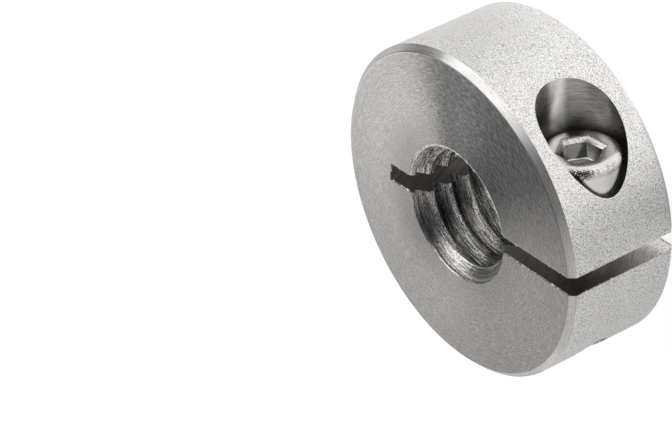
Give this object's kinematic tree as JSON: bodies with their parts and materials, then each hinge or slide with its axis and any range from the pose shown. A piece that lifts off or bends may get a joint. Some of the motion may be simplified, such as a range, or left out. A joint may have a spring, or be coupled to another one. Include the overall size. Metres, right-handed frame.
{
  "type": "clamping ring",
  "caption": "Split stainless steel clamping ring with a threaded bore, drawn tight on a threaded spindle by a socket head cap screw across its slot.",
  "frame": {"origin": "centre of the rear face, on the ring's axis", "axes": "+Z along the bore from the rear face to the front face, +X towards the open side of the split, +Y towards the screw's head"},
  "size_m": [0.024, 0.024, 0.009],
  "materials": {
    "ring_steel": "satin turned stainless steel, fine concentric tool marks on the faces",
    "screw_steel": "bright cold-formed stainless steel"
  },
  "bodies": {
    "ring": {"clamp_ring": "ring_steel"},
    "screw": {"clamp_screw": "screw_steel"}
  },
  "joints": [
    {"name": "screw_turn", "type": "hinge", "parent": "ring", "child": "screw", "pos_m": [0.00793, 0, 0.0046], "axis": [0, 1, 0], "range_deg": [-180, 2160]}
  ]
}
